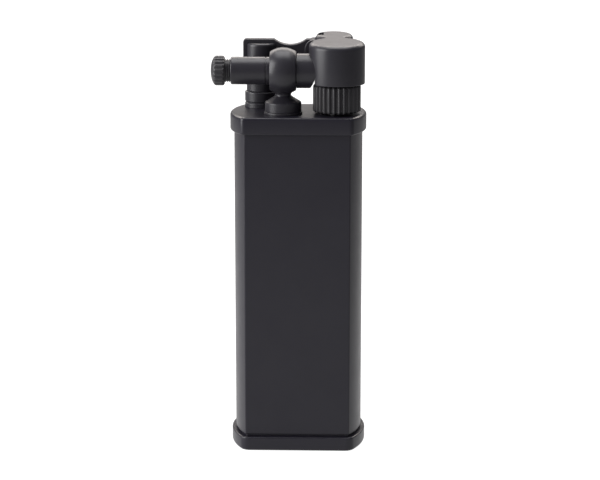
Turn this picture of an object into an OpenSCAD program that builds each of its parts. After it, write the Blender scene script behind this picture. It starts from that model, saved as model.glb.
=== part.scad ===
// Lift-arm pipe lighter: a flat-fronted body with bowed sides, a ball pillar that carries the flint
// tube, a hooded thumb wheel and a hinged snuffer arm. Millimetres, Z up, front towards -Y.
// The origin is the centre of the face that the lighter stands on.

/* [Body] */
// Width of the body sleeve
body_w = 21.6; // [20:0.1:25]
// Depth of the body sleeve
body_d = 14.2; // [13.6:0.1:15.5]
// How far each side bows out beyond the flat front
side_bulge = 2; // [1:0.1:3]
// Visible length of the body sleeve
sleeve_len = 52.2; // [40:0.5:70]
// Wall of the body sleeve
sleeve_wall = 0.5; // [0.3:0.05:0.6]
// How far the collar and the cap stand proud of the sleeve
rim = 0.65; // [0.4:0.05:1]
// Height of the top collar
collar_h = 2.9; // [2.4:0.1:4]
// Height of the bottom cap
cap_h = 2.4; // [2:0.1:3.5]
// Rounding on the outer edges of the collar and the cap
edge_r = 0.5; // [0.2:0.05:0.8]
// Depth of the collar's plug inside the sleeve
collar_plug = 3; // [2.4:0.1:4]
// Depth of the cap's plug inside the sleeve
cap_plug = 2; // [1.5:0.1:3]

/* [Fuel tank] */
// Wall of the fuel tank
tank_wall = 0.55; // [0.4:0.05:0.6]
// Thickness of the tank floor
tank_floor = 1.6; // [1.2:0.1:2.4]
// Thickness of the tank lid
lid_h = 1.5; // [1.2:0.1:2.5]
// Thickness of the gasket under the lid
gasket_h = 0.4; // [0.3:0.05:0.6]

/* [Burner] */
// Burner centre, left of the body centre
burner_left = 6.35; // [6.1:0.05:6.5]
// Burner centre, in from the back of the sleeve
burner_inset = 2.75; // [2.7:0.05:2.8]
// Radius of the burner shroud
shroud_r = 2.85; // [2.6:0.05:2.9]
// Height of the burner shroud
shroud_h = 2.75; // [2.4:0.05:3]
// Height of the foot step of the shroud
shroud_foot_h = 0.75; // [0.5:0.05:1]
// Radius of the bore of the shroud
shroud_bore_r = 1.6; // [1.4:0.05:1.8]
// Radius of the valve neck that passes through the collar
valve_neck_r = 1; // [0.95:0.01:1.05]
// Radius of the valve chamber inside the tank
valve_chamber_r = 1.9; // [1.7:0.05:2.1]
// Length of the valve chamber inside the tank
valve_chamber_len = 6; // [4:0.5:9]
// Height of the valve seat above the collar
valve_seat_h = 0.2; // [0.1:0.05:0.4]
// Radius of the nozzle head
nozzle_r = 0.9; // [0.85:0.02:0.95]
// Length of the nozzle head
nozzle_head_len = 1.1; // [0.9:0.05:1.3]
// Radius of the nozzle stem
nozzle_stem_r = 0.55; // [0.5:0.01:0.58]
// Length of the nozzle stem
nozzle_stem_len = 6; // [5:0.5:7]
// Radius of the gas hole in the nozzle
nozzle_hole_r = 0.25; // [0.2:0.05:0.35]

/* [Flint tube] */
// Height of the tube axis above the collar
tube_h = 7.15; // [6.4:0.05:7.8]
// Distance of the tube and wheel axes in front of the body centre
axis_front = 2.9; // [2.85:0.05:2.95]
// Outer radius of the flint tube
tube_r = 2.3; // [2.1:0.05:2.4]
// Bore radius of the flint tube
tube_bore_r = 1.3; // [1.25:0.01:1.4]
// Length of the tube to the left of the ball
tube_left_len = 6.45; // [6.05:0.25:8.05]
// Outer radius of the collar ring on the right of the ball
ring_r = 2.875; // [2.6:0.025:2.95]
// How far the tube enters the hood
tube_entry = 0.3; // [0.1:0.05:0.5]
// Radius of the flint
flint_r = 1.2; // [1.1:0.01:1.22]
// Length of the flint
flint_len = 4; // [2:0.25:5]
// Length of the plunger behind the flint
plunger_len = 1; // [0.8:0.1:1.5]
// Radius of the screw knob
knob_r = 2.475; // [2.2:0.025:3]
// Length of the screw knob
knob_len = 2.3; // [2:0.1:3.5]
// Height of the dome on the end of the knob
knob_dome_h = 0.95; // [0.5:0.05:1.2]
// Number of flutes round the knob
knob_flutes = 20; // [14:1:24]
// Radius of the ringed neck of the screw
neck_r = 1.9; // [1.7:0.05:2.1]
// Length of the ringed neck
neck_len = 1; // [0.8:0.1:1.6]
// Length of the screw stem inside the tube
stem_len = 3.4; // [2.5:0.1:4]

/* [Ball pillar] */
// Ball centre, left of the body centre
ball_left = 2.45; // [2.3:0.05:2.7]
// Radius of the ball
ball_r = 4; // [3.7:0.05:4.05]
// Width of the ball between its flats
ball_w = 4.5; // [4.2:0.05:4.55]
// Radius of the pillar foot
foot_r = 3.03; // [2.7:0.05:3.3]
// Radius of the pillar neck
pillar_neck_r = 1.35; // [1.2:0.05:1.6]
// Height of the cone above the foot
cone_h = 1.05; // [0.8:0.05:1.1]
// Radius of the washer under the foot
washer_r = 3.2; // [3.1:0.05:3.5]
// Thickness of the washer under the foot
washer_h = 0.4; // [0.3:0.05:0.5]

/* [Thumb wheel and hood] */
// Wheel axis, right of the body centre
wheel_right = 6.5; // [6.4:0.05:6.8]
// Radius of the thumb wheel
thumb_r = 4; // [3.9:0.05:4.2]
// Number of flutes round the thumb wheel
thumb_flutes = 28; // [20:1:34]
// Radius of each flute of the thumb wheel
flute_r = 0.28; // [0.2:0.02:0.34]
// Chamfer on the rims of the thumb wheel
thumb_chamfer = 0.3; // [0.1:0.05:0.5]
// Thickness of the washer under the thumb wheel
wheel_washer_h = 0.3; // [0.2:0.05:0.4]
// Radius of the wheel spindle
spindle_r = 1; // [0.8:0.05:1.2]
// Wall of the bush that joins the two wheels
bush_wall = 0.6; // [0.4:0.05:0.8]
// Height of the spark wheel
spark_h = 3.8; // [3:0.1:4]
// Number of teeth on the spark wheel
spark_teeth = 44; // [30:1:60]
// Depth of the spark wheel teeth
tooth_depth = 0.22; // [0.1:0.02:0.3]
// How far the hood stands out beyond the thumb wheel
hood_overhang = 0.65; // [0.6:0.05:0.85]
// Wall of the hood
hood_wall = 0.8; // [0.6:0.05:0.85]
// Gap between the spark wheel and the hood
spark_gap = 0.55; // [0.3:0.05:0.8]
// Slope of the hood's top, rising to the rear, in degrees
hood_slope = 4.1; // [0:0.1:6]
// Radius of the rear post of the hood
post_r = 3.25; // [3:0.05:3.5]
// How far the rear post stands to the left of the wheel axis
post_shift = 0.65; // [0.4:0.05:0.8]

/* [Snuffer arm] */
// Thickness of the arm
arm_t = 1.8; // [1.6:0.05:1.9]
// Height of the arm plate
arm_h = 4.25; // [3.8:0.05:4.5]
// How far the arm reaches beyond the burner centre
arm_reach = 3.1; // [3:0.05:4]
// Rounding on the free end of the arm
arm_end_r = 0.6; // [0.3:0.05:1]
// Depth of the finger dip in the arm
dip_depth = 0.95; // [0.5:0.05:1.2]
// Width of the finger dip in the arm
dip_w = 5.5; // [4.5:0.1:5.6]
// Finger dip centre, left of the body centre
dip_left = 1.5; // [1.4:0.05:1.6]
// Radius of the hinge eye
eye_r = 1.5; // [1.3:0.05:1.6]
// Radius of the hinge pin
pin_r = 0.6; // [0.45:0.05:0.7]
// How far the hinge lies inside the hood's left side
hinge_inset = 0.65; // [0.55:0.05:0.75]
// Height of the tops of the arm and the hood's front above the tube axis
head_rise = 4.45; // [4.4:0.05:4.9]
// Thickness of each hinge lug
lug_t = 1.1; // [0.9:0.05:1.2]
// Thickness of the leaf spring under the hinge eye
leaf_t = 0.28; // [0.2:0.02:0.35]
// Radius of the snuffer cup
cup_r = 2.55; // [2.4:0.05:2.7]
// Wall of the snuffer cup
cup_wall = 0.55; // [0.4:0.05:0.6]
// Height of the mouth of the cup above the collar
cup_mouth = 2.8; // [2.79:0.01:2.9]
// How far the top of the cup lies below the top of the arm
cup_drop = 0.65; // [0.4:0.05:1.2]
// Height of the closed nozzle above the mouth of the cup
nozzle_in_cup = 0.5; // [0.35:0.05:0.55]
// Thickness of the snuffer pad
pad_h = 0.95; // [0.6:0.05:1.2]

/* [Filler and adjuster] */
// Filler centre, right of the body centre
filler_right = 4.2; // [3.8:0.1:4.6]
// Flame adjuster centre, left of the body centre
adjuster_left = 4.2; // [3.8:0.1:4.6]
// Depth of the filler and the adjuster inside the resting face
bottom_recess = 0.5; // [0.3:0.05:0.8]
// Radius of the filler valve head
filler_r = 2.4; // [2.2:0.05:2.8]
// Height of the filler valve head
filler_head_h = 2.5; // [2.3:0.05:2.8]
// Radius of the filler valve thread
filler_thread_r = 1.7; // [1.6:0.05:1.9]
// Length of the filler valve thread
filler_thread_len = 6; // [5:0.25:8]
// Radius of the socket that takes a refill nozzle
filler_socket_r = 1.4; // [1.2:0.05:1.6]
// Depth of the refill socket
filler_socket_h = 1.4; // [1.2:0.05:1.5]
// Radius of the filler stem
filler_stem_r = 0.6; // [0.5:0.02:0.64]
// Radius of the adjuster head
adjuster_r = 2.2; // [1.9:0.05:2.6]
// Height of the adjuster head
adjuster_h = 1.4; // [1.2:0.05:1.6]
// Radius of the adjuster stem
adjuster_stem_r = 1; // [0.8:0.05:1.2]
// Width of the slot in the adjuster
slot_w = 0.6; // [0.4:0.05:0.9]
// Depth of the slot in the adjuster
slot_d = 0.7; // [0.4:0.05:0.9]

/* [Springs] */
// Wire radius of the flint spring
flint_wire_r = 0.17; // [0.12:0.01:0.19]
// Turns of the flint spring
flint_turns = 6; // [4:1:6]
// Wire radius of the filler spring
filler_wire_r = 0.15; // [0.1:0.01:0.17]
// Turns of the filler spring
filler_turns = 6; // [4:1:6]
// Wire radius of the nozzle spring
nozzle_wire_r = 0.1; // [0.08:0.01:0.11]
// Turns of the nozzle spring
nozzle_turns = 2.5; // [1.5:0.5:2.5]

/* [Screws] */
// Shank radius of the screws under the collar
screw_r = 0.8; // [0.6:0.05:0.9]
// Head radius of the screws under the collar
screw_head_r = 1.4; // [1.2:0.05:1.45]
// Head height of the screws under the collar
screw_head_h = 1; // [0.8:0.05:1.4]
// Length of thread inside the pillar and the post
screw_grip = 2.4; // [1.8:0.1:2.6]

/* [Clearances] */
// Radial clearance of a fixed fit
fit = 0.02; // [0.01:0.01:0.04]
// Radial clearance of a turning or sliding fit
run = 0.05; // [0.03:0.01:0.08]
// Clearance of a moving piece from its neighbour
clear = 0.15; // [0.1:0.01:0.2]
// Gap between faces that meet and part again
touch = 0.03; // [0.02:0.01:0.05]

/* [Hidden] */
$fn = 96;
// Overshoot of a cutting shape
over = 1;
// Thickness of a slice in a rounded slab
slice = 0.01;
// Slices in each rounded edge
edge_steps = 4;
// Points in each turn of a spring's path
rings_per_turn = 8;

black = "#26262a";
brass = "#b08d4a";
steel = "#9a9ca0";
rubber = "#1a1a1a";

// Body heights
side_r = (body_d * body_d / 4 + side_bulge * side_bulge) / (2 * side_bulge);
sleeve_top = cap_h + sleeve_len;
deck = sleeve_top + collar_h;
plug_low = sleeve_top - collar_plug;
tank_low = cap_h + cap_plug;
lid_low = plug_low - lid_h;
gasket_low = lid_low - gasket_h;
in_sleeve = -sleeve_wall - run;

// Axes of the head
tube_z = deck + tube_h;
axis_y = -axis_front;
wheel_x = wheel_right;
ball_x = -ball_left;
burner_y = body_d / 2 - burner_inset;
burner_x = -burner_left;

// Wheel, hood and post
hood_r = thumb_r + hood_overhang;
hood_bore_r = hood_r - hood_wall;
spark_r = hood_bore_r - spark_gap;
hood_low_z = tube_z - spark_h / 2 - clear;
arm_top_z = tube_z + head_rise;
hood_high_z = arm_top_z;
hood_rise = 2 * hood_r * tan(hood_slope) + over;
wheel_low = deck + wheel_washer_h + run;
thumb_top = hood_low_z - clear;
thumb_h = thumb_top - wheel_low;
spark_low = tube_z - spark_h / 2;
spark_top = tube_z + spark_h / 2;
bush_r = spindle_r + run + bush_wall;
bush_top = spark_top + bush_wall;
ceiling = bush_top + clear;
spindle_tip = ceiling + spindle_r / 2;
post_x = wheel_x - post_shift;
post_y = body_d / 2 + rim - edge_r - post_r;
post_bore_r = thumb_r + 2 * clear;
post_screw_y = axis_y + post_bore_r + screw_r + 2 * clear;
slot_half = ring_r + 2 * clear;

// Flint tube, from left to right
ball_low_x = ball_x - ball_w / 2;
ball_high_x = ball_x + ball_w / 2;
tube_low_x = ball_low_x - tube_left_len;
tube_high_x = wheel_x - hood_r + tube_entry;
flint_tip = wheel_x - spark_r - 2 * touch;
flint_tail = flint_tip - flint_len;
plunger_low_x = flint_tail - touch - plunger_len;
neck_low_x = tube_low_x - touch - neck_len;
stem_r = tube_bore_r - run;
stem_end_x = tube_low_x + stem_len;

// Snuffer arm and hinge
hinge_x = wheel_x - hood_r + hinge_inset;
hinge_z = arm_top_z - eye_r;
arm_low_z = arm_top_z - arm_h;
arm_end_x = burner_x - arm_reach;
arm_gap = clear * 2 / 3;
fork_half = arm_t / 2 + arm_gap;
fork_front = burner_y - fork_half - lug_t;
fork_back = burner_y + fork_half + lug_t;
fork_low_x = hinge_x - eye_r;
fork_end_x = hinge_x + eye_r + clear;
fork_floor = hinge_z - eye_r - touch - run - leaf_t;
fork_base = fork_floor - leaf_t * 3;
dip_r = (dip_w * dip_w / 4 + dip_depth * dip_depth) / (2 * dip_depth);
cup_top_z = arm_top_z - cup_drop;
nozzle_top = deck + cup_mouth + nozzle_in_cup;
nozzle_low = nozzle_top - nozzle_head_len;
pad_low = nozzle_top + touch;
valve_seat = deck + valve_seat_h;

// Filler valve
filler_ledge = bottom_recess + filler_head_h;
filler_guide_low = bottom_recess + filler_socket_h;
filler_seal_low = filler_ledge - 0.4;
filler_seal_h = 0.35;
filler_chamber_r = filler_thread_r - 0.45;
filler_tip = bottom_recess + filler_stem_r * 2 / 3;
filler_flange_low = filler_seal_low + filler_seal_h + touch;
filler_flange_h = 0.5;
filler_chamber_top = filler_ledge + filler_thread_len - filler_stem_r;
filler_spring_low = filler_flange_low + filler_flange_h;

// Flame adjuster
adjuster_ledge = bottom_recess + adjuster_h + run;
adjuster_seal_h = 0.6;
tank_floor_top = tank_low + tank_floor;
adjuster_top = tank_floor_top + adjuster_seal_h * 2;

// Body outline: flat front and back with a bowed arc on each side
module outline(grow) {
    intersection() {
        square([body_w + 2 * grow, body_d + 2 * grow], center = true);
        translate([body_w / 2 - side_r, 0]) circle(side_r + grow);
        translate([side_r - body_w / 2, 0]) circle(side_r + grow);
    }
}

// Slab of the proud rim outline with both outer edges rounded and flat faces
module rim_slab(h) {
    intersection() {
        hull()
            for (i = [0 : edge_steps], flip = [0, 1]) {
                turn = 90 * i / edge_steps;
                inset = edge_r * (1 - cos(turn));
                rise = edge_r * (1 - sin(turn)) - slice;
                translate([0, 0, flip == 0 ? rise : h - rise - slice])
                    linear_extrude(slice) outline(rim - inset, $fn = 64);
            }
        linear_extrude(h) square([2 * body_w, 2 * body_d], center = true);
    }
}

// Upright cylinder from one height to another
module upright(r, low, high) {
    translate([0, 0, low]) cylinder(r = r, h = high - low);
}

// Cylinder along X on the flint tube axis
module on_tube_axis(r, low, high) {
    translate([low, axis_y, tube_z]) rotate([0, 90, 0]) cylinder(r = r, h = high - low);
}

// Cylinder along Y on the hinge axis
module on_hinge_axis(r, front, back) {
    translate([hinge_x, back, hinge_z]) rotate([90, 0, 0]) cylinder(r = r, h = back - front);
}

// Upright ring
module upright_ring(r, bore, low, high) {
    difference() {
        upright(r, low, high);
        upright(bore, low - over, high + over);
    }
}

// Block between two corners
module block(low, high) {
    translate(low) cube(high - low);
}

// Points along a spring: a straight tail, a helix and a straight tail, along Z from 0
function spring_path(r, len, turns, wire) =
    let (rings = round(rings_per_turn * turns), tail = 2 * wire, rise = len - 2 * tail)
    concat(
        [[r, 0, 0]],
        [for (i = [0 : rings])
            let (a = 360 * turns * i / rings)
            [r * cos(a), r * sin(a), tail + rise * i / rings]],
        [[r * cos(360 * turns), r * sin(360 * turns), len]]
    );

function unit(v) = v / norm(v);

// Direction of a path at one of its points
function heading(path, i) =
    let (last = len(path) - 1)
    unit(i == 0 ? path[1] - path[0]
        : i == last ? path[last] - path[last - 1]
        : unit(path[i + 1] - path[i]) + unit(path[i] - path[i - 1]));

// Least gap between a spring's neighbouring turns
function turn_gap(path, wire) =
    let (last = len(path) - 1, apart = rings_per_turn / 2 + 1)
    min([for (i = [0 : last - apart], j = [i + apart : last]) norm(path[i] - path[j])]) - 2 * wire;

// Spring swept as one closed tube of six sides along its path
module spring(name, r, len, turns, wire) {
    sides = 6;
    path = spring_path(r, len, turns, wire);
    count = len(path);
    echo(spring = name, least_gap = turn_gap(path, wire));
    points = [
        for (i = [0 : count - 1], k = [0 : sides - 1])
            let (
                out = unit([path[i].x, path[i].y, 0]),
                across = cross(heading(path, i), out),
                a = 360 * k / sides
            )
            path[i] + wire * (cos(a) * out + sin(a) * across)
    ];
    walls = [
        for (i = [0 : count - 2], k = [0 : sides - 1], half = [0, 1])
            let (a = i * sides + k, b = i * sides + (k + 1) % sides)
            half == 0 ? [a, a + sides, b] : [b, a + sides, b + sides]
    ];
    caps = [
        for (k = [1 : sides - 2], end = [0, 1])
            let (first = end * (count - 1) * sides)
            end == 0 ? [first, first + k, first + k + 1] : [first, first + k + 1, first + k]
    ];
    polyhedron(points = points, faces = concat(walls, caps));
}

// Casing

module body_sleeve() {
    color(black)
        translate([0, 0, cap_h]) linear_extrude(sleeve_len)
            difference() {
                outline(0);
                outline(-sleeve_wall);
            }
}

module top_plate() {
    color(black)
        difference() {
            union() {
                translate([0, 0, sleeve_top]) rim_slab(collar_h);
                translate([0, 0, plug_low]) linear_extrude(collar_plug + slice) outline(in_sleeve);
            }
            translate([burner_x, burner_y]) upright(valve_neck_r + fit, plug_low - over, deck + over);
            translate([wheel_x, axis_y]) {
                upright(spindle_r + fit, plug_low - over, deck + over);
                upright(screw_head_r + fit, plug_low - over, plug_low + screw_head_h);
            }
            for (place = screw_places()) translate(place) {
                upright(screw_r + fit, plug_low - over, deck + over);
                upright(screw_head_r + fit, plug_low - over, plug_low + screw_head_h);
            }
        }
}

module bottom_cap() {
    color(black)
        difference() {
            union() {
                rim_slab(cap_h);
                translate([0, 0, cap_h - slice]) linear_extrude(cap_plug + slice) outline(in_sleeve);
            }
            translate([filler_right, 0]) {
                upright(filler_r + fit, -over, filler_ledge);
                upright(filler_thread_r + fit, -over, tank_low + over);
            }
            translate([-adjuster_left, 0]) {
                upright(adjuster_r + run, -over, adjuster_ledge);
                upright(adjuster_stem_r + run, -over, tank_low + over);
            }
        }
}

module fuel_tank() {
    color("#d8d2c4")
        difference() {
            translate([0, 0, tank_low]) linear_extrude(gasket_low - tank_low) outline(in_sleeve);
            translate([0, 0, tank_floor_top]) linear_extrude(gasket_low - tank_low)
                outline(in_sleeve - tank_wall);
            translate([filler_right, 0]) upright(filler_thread_r + fit, tank_low - over, tank_floor_top + over);
            translate([-adjuster_left, 0])
                upright(adjuster_stem_r + run, tank_low - over, tank_floor_top + over);
        }
}

module tank_gasket() {
    color(rubber)
        translate([0, 0, gasket_low]) linear_extrude(gasket_h)
            difference() {
                outline(in_sleeve);
                outline(in_sleeve - tank_wall);
            }
}

module tank_lid() {
    color("#d8d2c4")
        difference() {
            translate([0, 0, lid_low]) linear_extrude(lid_h) outline(in_sleeve);
            translate([burner_x, burner_y]) upright(valve_neck_r + fit, lid_low - over, plug_low + over);
        }
}

// Burner

module burner_shroud() {
    waist_h = shroud_foot_h / 4;
    color(black)
        translate([burner_x, burner_y, deck]) rotate_extrude()
            polygon([
                [valve_neck_r + fit, 0],
                [shroud_r, 0],
                [shroud_r, shroud_foot_h],
                [shroud_r - waist_h, shroud_foot_h + waist_h],
                [shroud_r, shroud_foot_h + 2 * waist_h],
                [shroud_r, shroud_h - waist_h],
                [shroud_r - waist_h, shroud_h],
                [shroud_bore_r + waist_h, shroud_h],
                [shroud_bore_r, shroud_h - waist_h],
                [shroud_bore_r, valve_seat_h],
                [valve_neck_r + fit, valve_seat_h]
            ]);
}

// Outline of the valve chamber, flattened at the back to clear the tank wall
module chamber_outline() {
    intersection() {
        translate([burner_x, burner_y]) circle(valve_chamber_r);
        outline(in_sleeve - tank_wall - run);
    }
}

module valve_body() {
    low = gasket_low - valve_chamber_len;
    color(brass)
        difference() {
            union() {
                translate([burner_x, burner_y]) upright(valve_neck_r, gasket_low - slice, valve_seat);
                translate([0, 0, low]) linear_extrude(valve_chamber_len) chamber_outline();
            }
            translate([burner_x, burner_y]) upright(nozzle_stem_r + run, low - over, deck + over);
        }
}

module valve_seal() {
    color(rubber)
        difference() {
            translate([0, 0, gasket_low]) linear_extrude(gasket_h) chamber_outline();
            translate([burner_x, burner_y]) upright(valve_neck_r + fit, gasket_low - over, lid_low + over);
        }
}

module burner_nozzle() {
    chamfer = nozzle_r / 3;
    color(brass)
        translate([burner_x, burner_y])
            difference() {
                union() {
                    upright(nozzle_stem_r, nozzle_low - nozzle_stem_len, nozzle_low + slice);
                    upright(nozzle_r, nozzle_low, nozzle_top - chamfer);
                    translate([0, 0, nozzle_top - chamfer])
                        cylinder(r1 = nozzle_r, r2 = nozzle_r - chamfer, h = chamfer);
                }
                upright(nozzle_hole_r, nozzle_low - nozzle_stem_len - over, nozzle_top + over);
            }
}

module nozzle_spring() {
    color(steel)
        translate([burner_x, burner_y, valve_seat])
            spring("nozzle", nozzle_r - nozzle_wire_r, nozzle_low - valve_seat, nozzle_turns, nozzle_wire_r);
}

// Ball pillar and flint tube

module ball_pillar() {
    cone_top = tube_h - ball_r - 2 * run;
    foot_top = cone_top - cone_h;
    color(black)
        difference() {
            union() {
                translate([ball_x, axis_y, deck]) rotate_extrude()
                    polygon([
                        [0, washer_h],
                        [foot_r, washer_h],
                        [foot_r, foot_top],
                        [pillar_neck_r, cone_top],
                        [pillar_neck_r, tube_h - ball_r * 0.9],
                        [0, tube_h - ball_r * 0.9]
                    ]);
                intersection() {
                    translate([ball_x, axis_y, tube_z]) sphere(ball_r);
                    translate([ball_x, axis_y, tube_z]) cube([ball_w, 3 * ball_r, 3 * ball_r], center = true);
                }
            }
            on_tube_axis(tube_r + fit, ball_low_x - over, ball_high_x + over);
            translate([ball_x, axis_y]) upright(screw_r + fit, deck, deck + screw_grip + touch);
        }
}

module pillar_washer() {
    color(black)
        translate([ball_x, axis_y]) upright_ring(washer_r, screw_r + fit, deck, deck + washer_h);
}

// Places of the screws that hold the pillar and the post from below
function screw_places() = [[ball_x, axis_y], [post_x, post_screw_y]];

module plate_screws() {
    color(steel)
        for (place = screw_places()) translate(place)
            difference() {
                union() {
                    upright(screw_head_r, plug_low, plug_low + screw_head_h);
                    upright(screw_r, plug_low + slice, deck + screw_grip);
                }
                translate([0, 0, plug_low]) cube([3 * screw_head_r, slot_w, screw_head_h], center = true);
            }
}

module flint_tube() {
    groove = sleeve_wall / 3;
    groove_x = ball_low_x - tube_r / 4;
    color(black)
        difference() {
            on_tube_axis(tube_r, tube_low_x, tube_high_x);
            on_tube_axis(tube_bore_r, tube_low_x - over, tube_high_x + over);
            difference() {
                on_tube_axis(tube_r + over, groove_x - groove, groove_x);
                on_tube_axis(tube_r - groove, groove_x - over, groove_x + over);
            }
        }
}

module tube_ring() {
    color(black)
        difference() {
            on_tube_axis(ring_r, ball_high_x, tube_high_x);
            on_tube_axis(tube_r + fit, ball_high_x - over, tube_high_x + over);
        }
}

module flint() {
    color("#6f6f73") on_tube_axis(flint_r, flint_tail, flint_tip);
}

module flint_plunger() {
    nose_r = flint_r / 2;
    color(brass) {
        on_tube_axis(flint_r, plunger_low_x, plunger_low_x + plunger_len);
        on_tube_axis(nose_r, plunger_low_x - plunger_len / 2, plunger_low_x + slice);
    }
}

module flint_spring() {
    color(steel)
        translate([stem_end_x, axis_y, tube_z]) rotate([0, 90, 0])
            spring("flint", flint_r - flint_wire_r - run, plunger_low_x - stem_end_x, flint_turns, flint_wire_r);
}

// Screw with a domed, fluted knob, a ringed neck and a stem, turned about the tube axis
module flint_screw() {
    nose_r = flint_r / 2;
    nose_len = stem_r / 2;
    knob_low_x = neck_low_x - knob_len;
    flute = PI * knob_r / knob_flutes / 2;
    rings = 3;
    ring_step = neck_len / rings;
    dome_steps = 8;
    color(black) {
        difference() {
            translate([knob_low_x, axis_y, tube_z]) rotate([0, 90, 0]) rotate_extrude()
                polygon(concat(
                    [for (i = [0 : dome_steps])
                        let (a = 90 * i / dome_steps)
                        [knob_r * sin(a), knob_dome_h * (1 - cos(a))]],
                    [
                        [knob_r, knob_len - flute],
                        [knob_r - flute, knob_len],
                        [0, knob_len]
                    ]
                ));
            for (i = [0 : knob_flutes - 1])
                translate([knob_low_x, axis_y, tube_z]) rotate([i * 360 / knob_flutes, 0, 0])
                    translate([knob_dome_h / 2, 0, knob_r + flute / 3]) rotate([0, 90, 0])
                        cylinder(r = flute, h = knob_len, $fn = 24);
        }
        for (i = [0 : rings - 1])
            translate([neck_low_x + i * ring_step, axis_y, tube_z]) rotate([0, 90, 0])
                cylinder(r1 = neck_r, r2 = neck_r - ring_step / 2, h = ring_step);
        on_tube_axis(stem_r, neck_low_x - slice, stem_end_x);
        on_tube_axis(nose_r, stem_end_x - slice, stem_end_x + nose_len);
    }
}

// Thumb wheel, hood and post

// Thumb wheel: a fluted disc with chamfered rims and a low hub under the spark wheel
module thumb_wheel() {
    hub_r = (bush_r + spark_r) / 2;
    color(black)
        translate([wheel_x, axis_y])
            difference() {
                union() {
                    intersection() {
                        translate([0, 0, wheel_low]) linear_extrude(thumb_h)
                            difference() {
                                circle(thumb_r);
                                for (i = [0 : thumb_flutes - 1])
                                    rotate((i + 0.5) * 360 / thumb_flutes)
                                        translate([thumb_r, 0]) circle(flute_r, $fn = 24);
                            }
                        translate([0, 0, wheel_low]) rotate_extrude()
                            polygon([
                                [0, 0],
                                [thumb_r - thumb_chamfer, 0],
                                [thumb_r, thumb_chamfer],
                                [thumb_r, thumb_h - thumb_chamfer],
                                [thumb_r - thumb_chamfer, thumb_h],
                                [0, thumb_h]
                            ]);
                    }
                    upright(hub_r, thumb_top - slice, spark_low);
                }
                upright(bush_r + fit, wheel_low - over, spark_low + over);
            }
}

module spark_wheel() {
    pitch = 360 / spark_teeth;
    color(steel)
        translate([wheel_x, axis_y])
            difference() {
                translate([0, 0, spark_low]) linear_extrude(spark_h)
                    polygon([
                        for (i = [0 : spark_teeth - 1], tip = [0, 1])
                            let (r = spark_r - tooth_depth * (1 - tip), a = (i + tip * 0.8) * pitch)
                            [r * cos(a), r * sin(a)]
                    ]);
                upright(bush_r + fit, spark_low - over, spark_top + over);
            }
}

module wheel_bush() {
    color(brass)
        translate([wheel_x, axis_y]) upright_ring(bush_r, spindle_r + run, wheel_low, bush_top);
}

module spindle_washer() {
    color(steel)
        translate([wheel_x, axis_y]) upright_ring(bush_r, spindle_r + fit, deck, deck + wheel_washer_h);
}

module wheel_spindle() {
    color(steel)
        translate([wheel_x, axis_y]) {
            upright(screw_head_r, plug_low, plug_low + screw_head_h);
            upright(spindle_r, plug_low + slice, spindle_tip);
        }
}

// Space above the hood's sloping top
module above_hood() {
    translate([-body_w, axis_y - hood_r, hood_high_z]) rotate([hood_slope, 0, 0])
        translate([0, -body_d, 0]) cube([2 * body_w, 4 * body_d, hood_r]);
}

// Fork that carries the hinge pin on the left of the post
module hinge_fork() {
    on_hinge_axis(eye_r, fork_front, fork_back);
    block([fork_low_x, fork_front, fork_base], [post_x, fork_back, hinge_z]);
    block([hinge_x, fork_front, hinge_z - slice], [post_x, fork_back, hinge_z + eye_r]);
}

// Hood with its rear post: bored for the wheels, slotted for the flint tube and for the arm
module wheel_hood() {
    inside_x = wheel_x - hood_r - over;
    color(black)
        difference() {
            union() {
                translate([wheel_x, axis_y]) upright(hood_r, hood_low_z, hood_high_z + hood_rise);
                translate([post_x, post_y]) upright(post_r, deck, hood_high_z + hood_rise);
                hinge_fork();
            }
            above_hood();
            translate([wheel_x, axis_y]) {
                upright(hood_bore_r, hood_low_z - over, ceiling);
                upright(post_bore_r, deck - over, hood_low_z);
                upright(spindle_r + fit, ceiling - over, spindle_tip + touch);
            }
            on_tube_axis(slot_half, inside_x, wheel_x);
            block([inside_x, axis_y - slot_half, deck], [wheel_x, axis_y + slot_half, tube_z]);
            block(
                [fork_low_x - over, burner_y - fork_half, fork_floor],
                [fork_end_x, burner_y + fork_half, hood_high_z + hood_r]
            );
            on_hinge_axis(pin_r + fit, fork_front - touch, fork_back + touch);
            translate([post_x, post_screw_y]) upright(screw_r + fit, deck - over, deck + screw_grip + touch);
        }
}

module hinge_pin() {
    color(steel) on_hinge_axis(pin_r, fork_front, fork_back);
}

module arm_spring() {
    color(steel)
        block(
            [fork_low_x, burner_y - arm_t / 2, fork_floor],
            [fork_end_x - clear, burner_y + arm_t / 2, fork_floor + leaf_t]
        );
}

// Snuffer arm

// Side view of the arm: a plate with a finger dip, a stepped underside and a round hinge eye
module arm_profile() {
    low = arm_low_z;
    high = arm_top_z;
    eye_low = hinge_z - eye_r;
    step_x = fork_low_x - 2 * clear;
    difference() {
        union() {
            translate([hinge_x, hinge_z]) circle(eye_r);
            polygon([
                [arm_end_x, low],
                [step_x - (eye_low - low), low],
                [step_x, eye_low],
                [hinge_x, eye_low],
                [hinge_x, high],
                [arm_end_x + arm_end_r, high],
                [arm_end_x + arm_end_r, high - arm_end_r],
                [arm_end_x, high - arm_end_r]
            ]);
            translate([arm_end_x + arm_end_r, high - arm_end_r]) circle(arm_end_r);
        }
        translate([-dip_left, high + dip_r - dip_depth]) circle(dip_r);
        translate([hinge_x, hinge_z]) circle(pin_r + run);
    }
}

module snuffer_arm() {
    color(black)
        translate([0, burner_y + arm_t / 2, 0]) rotate([90, 0, 0]) linear_extrude(arm_t) arm_profile();
}

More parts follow.
